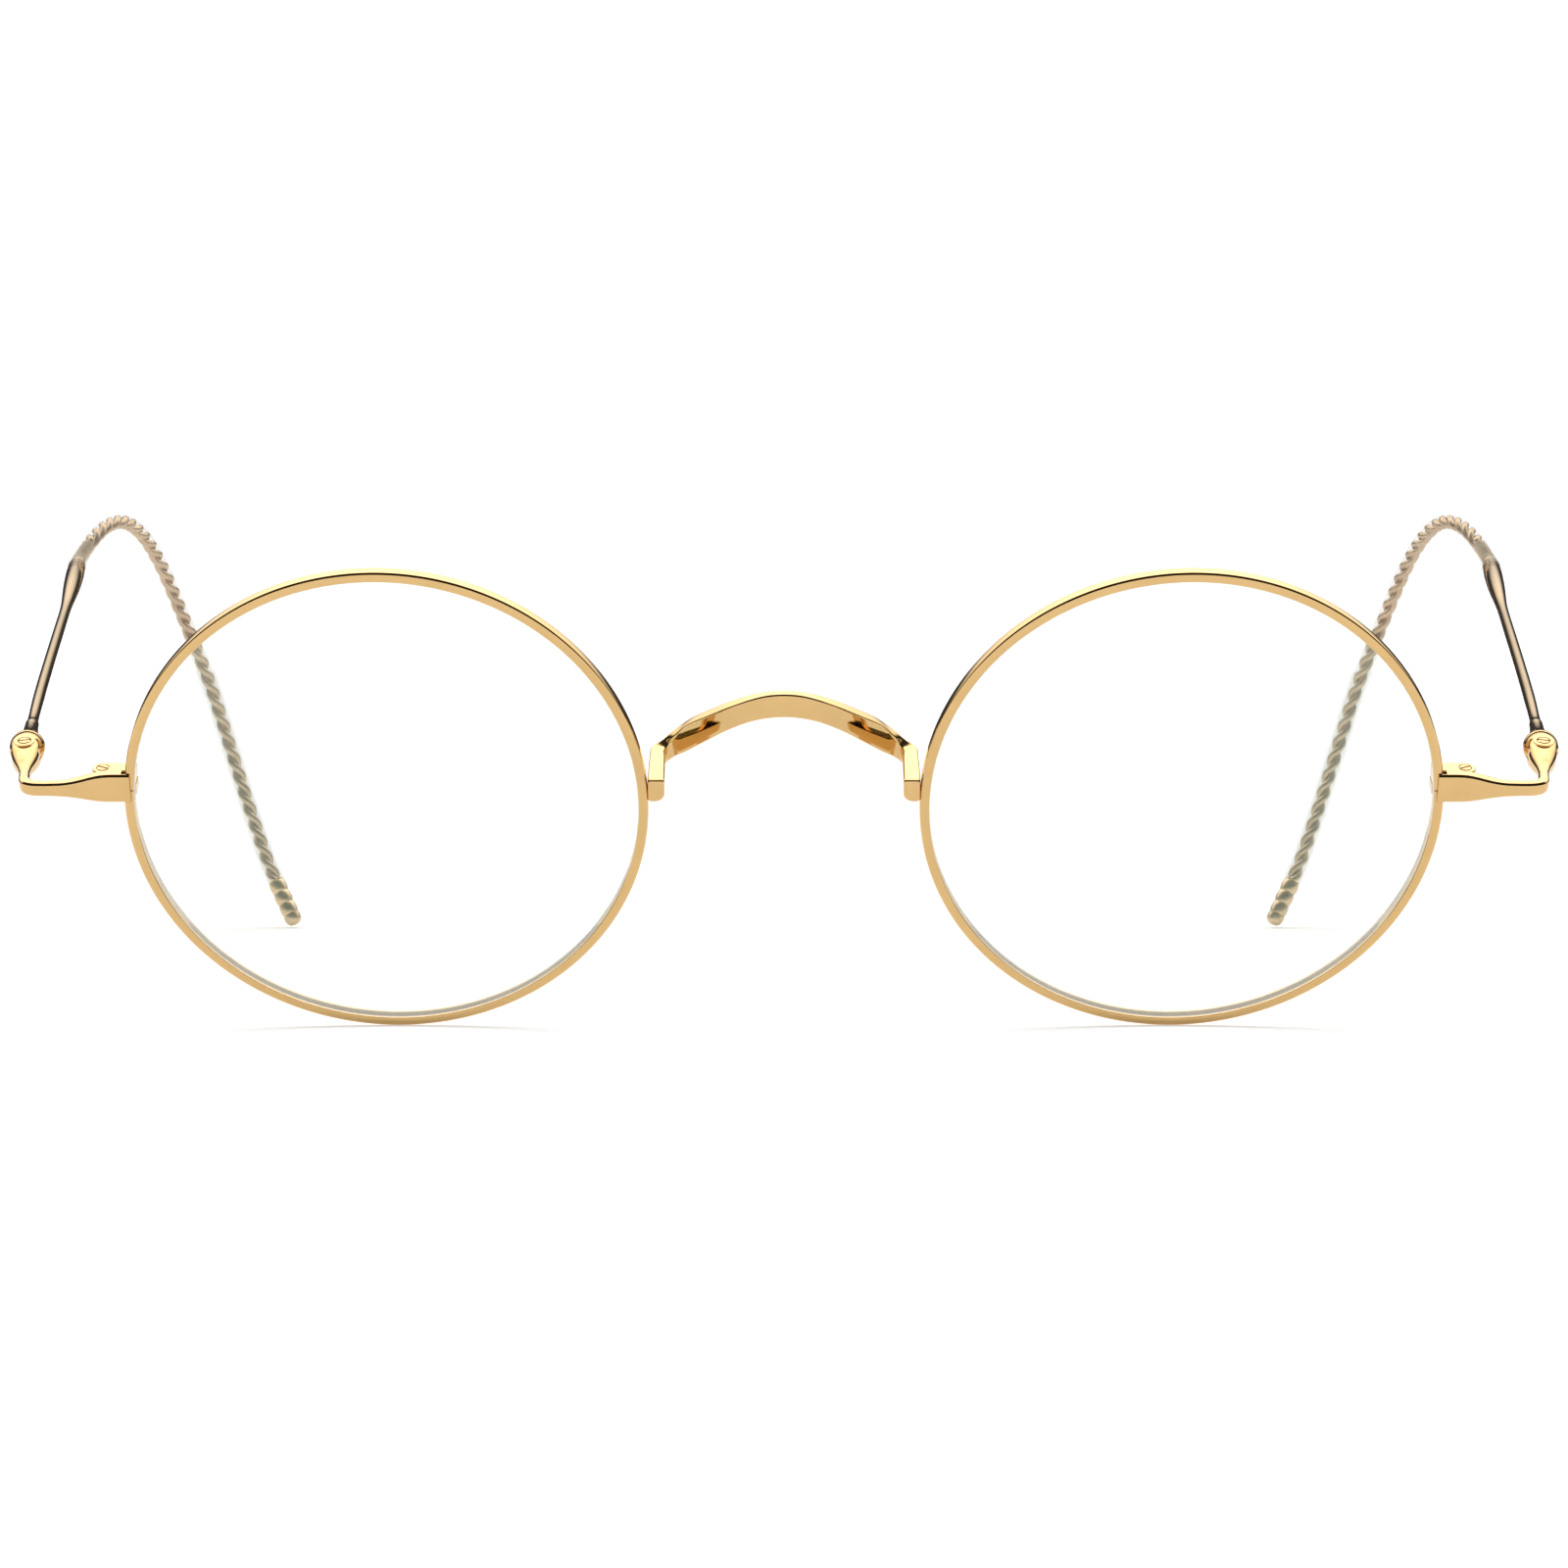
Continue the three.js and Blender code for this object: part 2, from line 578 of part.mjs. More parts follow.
const TEMPLE_PIECES = [
  ['temple_arm', templeArmGeometry, gold],
  ['cable', cableGeometry, tipGold],
  ['cable_binding', bindingGeometry, tipGold],
  ['cable_sleeve', sleeveGeometry, clearSleeve],
  ['tip_cap', capGeometry, tipGold],
];

const glasses = new THREE.Group();
glasses.rotation.x = THREE.MathUtils.degToRad(LEAN_DEG);
glasses.position.z = RIM_OUTER_R * Math.cos(glasses.rotation.x)
  - RIM_EDGE * Math.sin(glasses.rotation.x);
glasses.add(named('bridge', bridgeGeometry(), gold()));

for (const [label, side] of [['left', 1], ['right', -1]]) {
  for (const [piece, build, material] of FRONT_PIECES) {
    glasses.add(named(`${label}_${piece}`, build(), material(), side));
  }
  // The temple group turns on the hinge's axis, so its pieces are placed from there.
  const temple = new THREE.Group();
  temple.position.set(side * HINGE_U, HINGE_V, 0);
  for (const [piece, build, material] of TEMPLE_PIECES) {
    const shape = build().translate(-HINGE_U, -HINGE_V, 0);
    temple.add(named(`${label}_${piece}`, shape, material(), side));
  }
  glasses.add(temple);
}

// Centred front to back over the point it stands round.
glasses.updateMatrixWorld(true);
const reach = new THREE.Box3().setFromObject(glasses, true);
glasses.position.y = -(reach.min.y + reach.max.y) / 2;

const part = new THREE.Group();
part.add(glasses);
part.updateMatrixWorld(true);

export default part;
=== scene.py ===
# Round wire spectacles with a saddle bridge and curled cable temples.
# Sizes below are millimetres in the frame of the front: u to the wearer's left, v back
# towards the ears, w up the face. The origin is midway between the lens centres, on the
# front face of the rims. The frame's hinge gives its place and lean in the world.
import json
from math import atan2, cos, hypot, pi, radians, sin, sqrt

import bmesh
import bpy
from mathutils import Matrix, Vector


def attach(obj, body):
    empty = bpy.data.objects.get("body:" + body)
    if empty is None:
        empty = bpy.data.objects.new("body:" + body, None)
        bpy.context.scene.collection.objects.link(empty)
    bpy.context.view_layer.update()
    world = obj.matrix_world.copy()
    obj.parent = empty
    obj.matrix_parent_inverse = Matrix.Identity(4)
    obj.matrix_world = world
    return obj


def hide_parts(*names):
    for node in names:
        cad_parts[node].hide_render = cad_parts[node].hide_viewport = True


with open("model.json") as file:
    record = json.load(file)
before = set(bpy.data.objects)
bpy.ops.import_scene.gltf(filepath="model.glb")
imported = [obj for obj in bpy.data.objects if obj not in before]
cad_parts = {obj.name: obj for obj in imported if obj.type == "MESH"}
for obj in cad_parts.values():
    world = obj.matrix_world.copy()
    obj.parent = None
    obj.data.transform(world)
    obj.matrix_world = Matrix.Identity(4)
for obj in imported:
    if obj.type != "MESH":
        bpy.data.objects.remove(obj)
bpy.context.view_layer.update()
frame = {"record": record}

MM = 0.001

# ---------------------------------------------------------------- sizes
RIM_CENTRE_U = 34.0
RIM_OUTER_R = 22.4
RIM_INNER_R = 21.57
RIM_DEPTH = 1.25
GROOVE_V = 0.62
GROOVE_DEPTH = 0.35
GROOVE_HALF = 0.36
LENS_EDGE_R = RIM_INNER_R - 0.04
LENS_THICKNESS = 1.1
LENS_CURVE_R = 110.0
SEAM_W = 1.66
SEAM_HALF = 0.06

PLATE_FRONT = -0.35
PLATE_THICKNESS = 1.24
GAP = 0.06
HINGE = Vector((65.7, 6.2, 1.74))
KNUCKLE_R = 1.24
KNUCKLE_TOP = 3.05
KNUCKLE_BOTTOM = 0.43
BULB_TOP = 2.94
SCREW_R = 0.35
SCREW_HOLE_R = 0.42
HINGE_HEAD_R = 0.54
LOCK_SCREW = (58.3, 1.85)
LOCK_TOP = 2.85
LOCK_BOTTOM = 0.5
LOCK_HEAD_R = 0.52

SOCKET = Vector((74.2, 80.0, -17.4))
ARM = (SOCKET - HINGE).normalized()
ARM_LENGTH = (SOCKET - HINGE).length
WIRE_R = 0.53
CORE_START = 2.6
BINDING_LENGTH = 5.4
CABLE_R = 0.75
ROPE_LAY = 3.95
CABLE_ROUTE = [
    (74.0, 83.8, -17.65), (73.5, 86.9, -17.7), (72.9, 90.1, -18.05), (72.0, 93.5, -19.0),
    (71.2, 96.3, -20.7), (70.3, 98.9, -23.5), (69.5, 100.8, -26.7), (68.5, 102.4, -31.2),
    (67.2, 103.5, -36.9), (65.1, 103.3, -44.2), (63.0, 101.3, -51.5), (60.7, 97.5, -57.6),
    (58.5, 93.6, -62.2),
]
CAP_MOUTH = Vector((57.6, 92.2, -63.65))
CAP_TIP = Vector((55.0, 88.3, -67.5))
CAP_DIRECTION = (CAP_TIP - CAP_MOUTH).normalized()
CAP_INSET = 1.3
CAP_LENGTH = 5.6
CAP_R = 0.975
SLEEVE_OUTER_R = 1.03
SLEEVE_INNER_R = 0.84
SLEEVE_MOUTH_R = 1.16

# ---------------------------------------------------------------- placing
hinge_joint = next(j for j in frame["record"]["behaviour"]["joints"]
                   if j["name"] == "left_temple_fold")
axis = hinge_joint["axis"]
LEAN = atan2(-axis[1], axis[2])
TURN = Matrix.Rotation(LEAN, 4, "X")
ORIGIN = Vector(hinge_joint["pos_m"]) - TURN @ (HINGE * MM)
TO_WORLD = Matrix.Translation(ORIGIN) @ TURN @ Matrix.Scale(MM, 4)


# ---------------------------------------------------------------- mesh helpers
SHARP_ANGLE = 38.0
PATH_STEP = 0.1
CORNER_STEPS = 6


def finish_mesh(name, verts, faces, side=1, sharp=SHARP_ANGLE):
    """Object from points in the front's frame; side -1 mirrors it to the wearer's right."""
    mesh = bpy.data.meshes.new(name)
    points = [TO_WORLD @ Vector((side * p[0], p[1], p[2])) for p in verts]
    if side < 0:
        faces = [tuple(reversed(f)) for f in faces]
    mesh.from_pydata([tuple(p) for p in points], [], faces)
    bm = bmesh.new()
    bm.from_mesh(mesh)
    bmesh.ops.remove_doubles(bm, verts=bm.verts, dist=1e-8)
    bmesh.ops.recalc_face_normals(bm, faces=bm.faces)
    bm.to_mesh(mesh)
    bm.free()
    mesh.shade_smooth()
    mesh.set_sharp_from_angle(angle=radians(sharp))
    obj = bpy.data.objects.new(name, mesh)
    bpy.context.scene.collection.objects.link(obj)
    return obj


def skin(rings, ring_loop=True, joined=False):
    """Vertices and faces over rings of equal count, capped or with the ends joined."""
    count = len(rings[0])
    verts = [tuple(p) for ring in rings for p in ring]
    faces = []
    last = len(rings) if joined else len(rings) - 1
    span = count if ring_loop else count - 1
    for r in range(last):
        a = r * count
        b = ((r + 1) % len(rings)) * count
        for i in range(span):
            j = (i + 1) % count
            faces.append((a + i, a + j, b + j, b + i))
    if not joined:
        faces.append(tuple(reversed(range(count))))
        faces.append(tuple(range(len(verts) - count, len(verts))))
    return verts, faces


def merged(parts):
    """One list of vertices and faces out of several."""
    verts, faces = [], []
    for part_verts, part_faces in parts:
        base = len(verts)
        verts += part_verts
        faces += [tuple(base + i for i in face) for face in part_faces]
    return verts, faces


def frame_along(direction):
    """Two unit vectors square to a direction."""
    d = Vector(direction).normalized()
    x = d.cross(Vector((0, 0, 1)))
    if x.length < 1e-6:
        x = d.cross(Vector((0, 1, 0)))
    x.normalize()
    return x, d.cross(x).normalized()


def circle(centre, x, y, radius, sides):
    """Ring of points round a centre, in the plane of two unit vectors."""
    angles = [2 * pi * i / sides for i in range(sides)]
    return [centre + (x * cos(a) + y * sin(a)) * radius for a in angles]


def turned(profile, start, direction, steps):
    """Body of revolution; profile is (radius, distance) along direction from start."""
    start = Vector(start)
    d = Vector(direction).normalized()
    x, y = frame_along(d)
    rings = []
    for k in range(steps):
        a = 2 * pi * k / steps
        out = x * cos(a) + y * sin(a)
        rings.append([start + d * s + out * max(r, 0.0) for r, s in profile])
    return skin(rings, ring_loop=False, joined=True)


def rounded(corners):
    """Closed outline with its corners rounded; each corner is (x, y, radius)."""
    out = []
    n = len(corners)
    for i, (x, y, r) in enumerate(corners):
        p = Vector((x, y))
        before = (Vector(corners[i - 1][:2]) - p).normalized()
        after = (Vector(corners[(i + 1) % n][:2]) - p).normalized()
        if r <= 0:
            out.append((x, y))
            continue
        half = before.angle(after) / 2
        reach = r / max(1e-6, abs(sin(half) / cos(half)))
        centre = p + (before + after).normalized() * (r / sin(half))
        first = p + before * reach - centre
        turn = first.angle_signed(p + after * reach - centre)
        for k in range(CORNER_STEPS + 1):
            a = -turn * k / CORNER_STEPS
            c, s = cos(a), sin(a)
            out.append((centre.x + first.x * c - first.y * s,
                        centre.y + first.x * s + first.y * c))
    return out


def knot_gap(a, b):
    """Centripetal distance between two points."""
    return max(1e-4, sqrt(sqrt(sum((p - q) ** 2 for p, q in zip(a, b)))))


def smooth_line(points, per_span):
    """Centripetal Catmull-Rom through points of any dimension."""
    pts = [list(map(float, p)) for p in points]
    first = [2 * a - b for a, b in zip(pts[0], pts[1])]
    last = [2 * a - b for a, b in zip(pts[-1], pts[-2])]
    pts = [first] + pts + [last]
    out = []
    for i in range(1, len(pts) - 2):
        p0, p1, p2, p3 = pts[i - 1:i + 3]
        t0 = 0.0
        t1 = t0 + knot_gap(p0, p1)
        t2 = t1 + knot_gap(p1, p2)
        t3 = t2 + knot_gap(p2, p3)
        for k in range(per_span):
            t = t1 + (t2 - t1) * k / per_span
            row = []
            for q0, q1, q2, q3 in zip(p0, p1, p2, p3):
                a1 = ((t1 - t) * q0 + (t - t0) * q1) / (t1 - t0)
                a2 = ((t2 - t) * q1 + (t - t1) * q2) / (t2 - t1)
                a3 = ((t3 - t) * q2 + (t - t2) * q3) / (t3 - t2)
                b1 = ((t2 - t) * a1 + (t - t0) * a2) / (t2 - t0)
                b2 = ((t3 - t) * a2 + (t - t1) * a3) / (t3 - t1)
                row.append(((t2 - t) * b1 + (t - t1) * b2) / (t2 - t1))
            out.append(row)
    out.append(pts[-2])
    return out


class Path:
    """Curve with points by distance and a frame that doesn't twist."""

    def __init__(self, points):
        line = [Vector(p) for p in smooth_line(points, 24)]
        lengths = [0.0]
        for a, b in zip(line, line[1:]):
            lengths.append(lengths[-1] + (b - a).length)
        self.length = lengths[-1]
        count = int(self.length / PATH_STEP)
        self.step = self.length / count
        self.points = []
        j = 0
        for k in range(count + 1):
            s = k * self.step
            while j < len(line) - 2 and lengths[j + 1] < s:
                j += 1
            t = (s - lengths[j]) / max(1e-9, lengths[j + 1] - lengths[j])
            self.points.append(line[j].lerp(line[j + 1], min(1.0, t)))
        self.frames = []
        x, _ = frame_along(self.points[1] - self.points[0])
        for k in range(count + 1):
            a = self.points[max(0, k - 1)]
            b = self.points[min(count, k + 1)]
            d = (b - a).normalized()
            x = (x - d * x.dot(d)).normalized()
            self.frames.append((x, d.cross(x), d))

    def at(self, s):
        """Point and frame at a distance."""
        f = min(max(s / self.step, 0.0), len(self.points) - 1.0)
        k = min(int(f), len(self.points) - 2)
        t = f - k
        x = self.frames[k][0].lerp(self.frames[k + 1][0], t).normalized()
        d = self.frames[k][2].lerp(self.frames[k + 1][2], t).normalized()
        return self.points[k].lerp(self.points[k + 1], t), x, d.cross(x), d


def tube(path, stations, sides, joined=False):
    """Round bar along a path, or a pipe if joined; stations are (distance, radius)."""
    rings = []
    for s, r in stations:
        p, x, y, _ = path.at(s)
        rings.append(circle(p, x, y, r, sides))
    return skin(rings, joined=joined)


def helix(path, start, end, turns, offset, radius, phase, steps, sides):
    """Round strand that winds round a path, with tapered ends."""
    rings = []
    centres = []
    for k in range(steps + 1):
        s = start + (end - start) * k / steps
        p, x, y, _ = path.at(s)
        a = phase + 2 * pi * turns * k / steps
        centres.append(p + (x * cos(a) + y * sin(a)) * offset)
    for k in range(steps + 1):
        d = (centres[min(steps, k + 1)] - centres[max(0, k - 1)]).normalized()
        s = start + (end - start) * k / steps
        p = path.at(s)[0]
        out = (centres[k] - p).normalized()
        out = (out - d * out.dot(d)).normalized()
        up = d.cross(out)
        r = radius * (0.75 if k in (0, steps) else 1.0)
        rings.append(circle(centres[k], out, up, r, sides))
    return skin(rings)


def prism(outline, low, high, edge):
    """Upright extrusion of a counter-clockwise (u, v) outline, with rounded edges."""
    def inset(distance):
        n = len(outline)
        out = []
        for i in range(n):
            p = Vector(outline[i])
            a = p - Vector(outline[i - 1])
            b = Vector(outline[(i + 1) % n]) - p
            na = Vector((-a.y, a.x)).normalized()
            nb = Vector((-b.y, b.x)).normalized()
            m = na + nb
            m = m / max(0.3, m.dot(m) / 2)
            out.append(p + m * distance)
        return out

    steps = 4
    quarter = [(pi / 2) * k / steps for k in range(steps + 1)]
    levels = [(edge * (1 - sin(a)), low + edge * (1 - cos(a))) for a in quarter]
    levels += [(edge * (1 - sin(a)), high - edge * (1 - cos(a))) for a in reversed(quarter)]
    return skin([[Vector((p.x, p.y, level)) for p in inset(distance)]
                 for distance, level in levels])


def post(u, v, radius, low, high, sides):
    """Upright round bar along w."""
    rings = [[Vector((u + radius * cos(2 * pi * i / sides),
                      v + radius * sin(2 * pi * i / sides), level))
              for i in range(sides)] for level in (low, high)]
    return skin(rings)


def block(u0, u1, v0, v1, w0, w1):
    """Box between two values each of u, v and w."""
    ring = [(u0, v0), (u1, v0), (u1, v1), (u0, v1)]
    return skin([[Vector((u, v, w)) for u, v in ring] for w in (w0, w1)])


def boolean(obj, tools, side):
    """Joins or cuts with tools, (operation, (verts, faces)), and keeps the result."""
    for operation, shape in tools:
        tool = finish_mesh("tool", *shape, side=side)
        modifier = obj.modifiers.new("cut", "BOOLEAN")
        modifier.operation = operation
        modifier.solver = "EXACT"
        modifier.object = tool
        graph = bpy.context.evaluated_depsgraph_get()
        result = bpy.data.meshes.new_from_object(obj.evaluated_get(graph))
        obj.modifiers.clear()
        obj.data = result
        bpy.data.objects.remove(tool)
    obj.data.shade_smooth()
    obj.data.set_sharp_from_angle(angle=radians(SHARP_ANGLE))
    return obj


# ---------------------------------------------------------------- materials
DRIFT_SCALE = 320.0
GRAIN_DEPTH = 0.00001


def grey(level):
    return (level, level, level)


def nodes_of(name):
    """New material with its node tree and its Principled shader."""
    material = bpy.data.materials.new(name)
    material.use_nodes = True
    tree = material.node_tree
    return material, tree, tree.nodes["Principled BSDF"]


def noise(tree, scale, detail=3.0):
    """Noise in the object's own coordinates."""
    coordinates = tree.nodes.new("ShaderNodeTexCoord")
    texture = tree.nodes.new("ShaderNodeTexNoise")
    texture.inputs["Scale"].default_value = scale
    texture.inputs["Detail"].default_value = detail
    tree.links.new(coordinates.outputs["Object"], texture.inputs["Vector"])
    return texture.outputs["Fac"]


def ramp(tree, factor, stops):
    """Colour by a factor; stops are (position, colour)."""
    node = tree.nodes.new("ShaderNodeValToRGB")
    elements = node.color_ramp.elements
    while len(elements) < len(stops):
        elements.new(0.5)
    for element, (position, colour) in zip(elements, stops):
        element.position = position
        element.color = (*colour, 1.0)
    tree.links.new(factor, node.inputs["Fac"])
    return node.outputs["Color"]


def spread(tree, factor, low, high):
    """The middle of a noise factor's range, spread from low to high."""
    node = tree.nodes.new("ShaderNodeMapRange")
    node.inputs["From Min"].default_value = 0.3
    node.inputs["From Max"].default_value = 0.7
    node.inputs["To Min"].default_value = low
    node.inputs["To Max"].default_value = high
    tree.links.new(factor, node.inputs["Value"])
    return node.outputs["Result"]


def bump(tree, height, strength, distance):
    """Normal of a surface raised by height times distance."""
    node = tree.nodes.new("ShaderNodeBump")
    node.inputs["Strength"].default_value = strength
    node.inputs["Distance"].default_value = distance
    tree.links.new(height, node.inputs["Height"])
    return node.outputs["Normal"]


def metal(name, dark, light, rough, bump_strength=0.04):
    """Plated metal: faint tone drift, uneven polish and a fine grain."""
    material, tree, shader = nodes_of(name)
    shader.inputs["Metallic"].default_value = 1.0
    tone = ramp(tree, noise(tree, DRIFT_SCALE), [(0.3, dark), (0.7, light)])
    tree.links.new(tone, shader.inputs["Base Color"])
    polish = spread(tree, noise(tree, DRIFT_SCALE * 6, 4.0), *rough)
    tree.links.new(polish, shader.inputs["Roughness"])
    grain = bump(tree, noise(tree, DRIFT_SCALE * 18, 2.0), bump_strength, GRAIN_DEPTH)
    tree.links.new(grain, shader.inputs["Normal"])
    return material


def clear(name, dark, light, alpha, rough, scale, ior=1.5):
    """Clear glass or plastic, seen through rather than refracting."""
    material, tree, shader = nodes_of(name)
    tone = ramp(tree, noise(tree, scale), [(0.3, dark), (0.7, light)])
    tree.links.new(tone, shader.inputs["Base Color"])
    polish = spread(tree, noise(tree, scale * 4, 2.0), *rough)
    tree.links.new(polish, shader.inputs["Roughness"])
    shader.inputs["Alpha"].default_value = alpha
    shader.inputs["IOR"].default_value = ior
    return material


GOLD = metal("polished_gold", (0.69, 0.453, 0.196), (0.725, 0.483, 0.214), (0.04, 0.08))
TIP_GOLD = metal("satin_tip_gold", (0.64, 0.46, 0.26), (0.74, 0.55, 0.33), (0.38, 0.48),
                 0.12)
ROPE = metal("cable_strands", (0.55, 0.39, 0.235), (0.67, 0.49, 0.305), (0.28, 0.38), 0.08)
WINDING = metal("cable_winding", (0.62, 0.50, 0.32), (0.74, 0.62, 0.42), (0.18, 0.28), 0.06)
LENS = clear("lens_glass", (0.76, 0.96, 0.74), (0.82, 0.98, 0.80), 0.09, (0.02, 0.04), 60.0)
LENS_BEVEL_AND_GLOW = clear("lens_bevel_painted_glow", (0.78, 0.80, 0.78), (0.92, 0.93, 0.91), 0.45, (0.35, 0.5),
                  2500.0)
# Painted glow: the ground bevel keeps its own frosted pale colour, and a faint emission is
# added to stand in for light the glass would gather onto it.
bevel_glow_shader = LENS_BEVEL_AND_GLOW.node_tree.nodes["Principled BSDF"]
bevel_glow_shader.inputs["Emission Color"].default_value = (0.9, 0.88, 0.84, 1)
bevel_glow_shader.inputs["Emission Strength"].default_value = 0.4
SLEEVE = clear("clear_sleeve", (0.72, 0.66, 0.56), (0.80, 0.74, 0.64), 0.13, (0.06, 0.14),
               500.0, 1.45)


def dress(obj, material, body, node):
    """Gives a finished piece its material, hides the node it stands for and puts it in its
    body.
    """
    obj.data.materials.clear()
    obj.data.materials.append(material)
    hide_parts(node)
    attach(obj, body)
    return obj


# ---------------------------------------------------------------- front pieces
def rim(side):
    """Grooved ring, open at the seam behind the endpiece."""
    edge = 0.27
    outline = rounded([
        (RIM_INNER_R, 0, 0.05), (RIM_INNER_R, GROOVE_V - GROOVE_HALF, 0),
        (RIM_INNER_R + GROOVE_DEPTH, GROOVE_V, 0), (RIM_INNER_R, GROOVE_V + GROOVE_HALF, 0),
        (RIM_INNER_R, RIM_DEPTH, 0.08), (RIM_OUTER_R, RIM_DEPTH, edge),
        (RIM_OUTER_R, 0, edge),
    ])
    gap_low = (SEAM_W - SEAM_HALF) / RIM_OUTER_R
    gap_high = (SEAM_W + SEAM_HALF) / RIM_OUTER_R
    rings = []
    steps = 360
    for k in range(steps + 1):
        a = gap_high + (2 * pi - gap_high + gap_low) * k / steps
        rings.append([Vector((RIM_CENTRE_U + r * cos(a), v, r * sin(a))) for r, v in outline])
    return finish_mesh("rim", *skin(rings), side=side)


def lens(side):
    """Meniscus lens with a bevel in the groove."""
    front = GROOVE_V - LENS_THICKNESS / 2

    def sag(r):
        return LENS_CURVE_R - sqrt(LENS_CURVE_R ** 2 - r ** 2)

    radii = [LENS_EDGE_R * k / 12 for k in range(13)]
    shift = -sag(LENS_EDGE_R)
    profile = [(r, front + shift + sag(r)) for r in radii]
    profile += [(LENS_EDGE_R, GROOVE_V - GROOVE_HALF), (LENS_EDGE_R + GROOVE_DEPTH, GROOVE_V),
                (LENS_EDGE_R, GROOVE_V + GROOVE_HALF)]
    profile += [(r, front + shift + LENS_THICKNESS + sag(r)) for r in reversed(radii)]
    verts, faces = turned(profile, (RIM_CENTRE_U, 0, 0), (0, 1, 0), 180)
    obj = finish_mesh("lens", verts, faces, side=side, sharp=20.0)
    obj.data.materials.append(LENS)
    obj.data.materials.append(LENS_BEVEL_AND_GLOW)
    centre = TO_WORLD @ Vector((side * RIM_CENTRE_U, GROOVE_V, 0))
    # Faces at the edge take the frosted bevel material, whose glow is painted light.
    for face in obj.data.polygons:
        if (face.center - centre).length > (LENS_EDGE_R - 0.12) * MM:
            face.material_index = 1
    return obj


# Half of the bridge, from the rim to the middle: inner face (u, v), outer face (u, v),
# lower and upper edge, rise of the outer face, rounding of the lower inner edge.
BRIDGE_STATIONS = [
    (10.2, 0.0, 11.66, 0.0, 0.5, 2.6, 0.0, 0.8),
    (10.22, 2.3, 11.62, 2.5, 0.55, 2.6, 0.0, 0.75),
    (10.25, 4.6, 11.56, 5.1, 0.6, 2.6, 0.0, 0.6),
    (10.28, 5.3, 11.52, 5.85, 0.75, 2.62, 0.0, 0.4),
    (10.15, 5.75, 11.3, 6.2, 0.95, 2.7, 0.0, 0.3),
    (9.85, 6.0, 10.65, 6.5, 1.2, 2.95, 0.02, 0.2),
    (9.35, 5.97, 9.7, 6.7, 1.58, 3.7, 0.05, 0.14),
    (8.5, 5.62, 8.1, 6.5, 2.2, 4.88, 0.25, 0.12),
    (6.85, 4.8, 6.43, 5.64, 3.62, 6.12, 0.38, 0.12),
    (4.87, 3.87, 4.52, 4.74, 5.26, 7.53, 0.31, 0.12),
    (2.93, 3.13, 2.7, 4.06, 6.5, 8.69, 0.15, 0.12),
    (1.45, 2.8, 1.36, 3.74, 7.03, 9.27, 0.05, 0.12),
    (0.0, 2.7, 0.0, 3.64, 7.21, 9.44, 0.0, 0.12),
]


def bridge():
    """Saddle bridge, swept from rim to rim."""
    mirrored = [(-a, b, -c, d, e, f, g, h)
                for a, b, c, d, e, f, g, h in reversed(BRIDGE_STATIONS[:-1])]
    line = smooth_line(BRIDGE_STATIONS + mirrored, 8)
    edge = 0.2
    rings = []
    for i, (fu, fv, bu, bv, low, high, rise, soft) in enumerate(line):
        depth = hypot(bu - fu, bv - fv)
        height = high - low
        shrink = 0.07 if i in (0, len(line) - 1) else 0.0
        outline = rounded([
            (shrink, shrink, max(soft, edge)),
            (depth - shrink, shrink, 0.3 if soft > 0.4 else edge),
            (depth - shrink, height - shrink, edge), (shrink, height - shrink, edge),
        ])
        rings.append([Vector((fu + (bu - fu) * x / depth, fv + (bv - fv) * x / depth,
                              low + y + rise * x / depth)) for x, y in outline])
    # The second ring from each end moves close to the end, so that the end's edge is small.
    for k in (1, -2):
        for p in rings[k]:
            p.y = p.y - (line[k][1] - 0.1)
    return finish_mesh("bridge", *skin(rings), sharp=50.0)


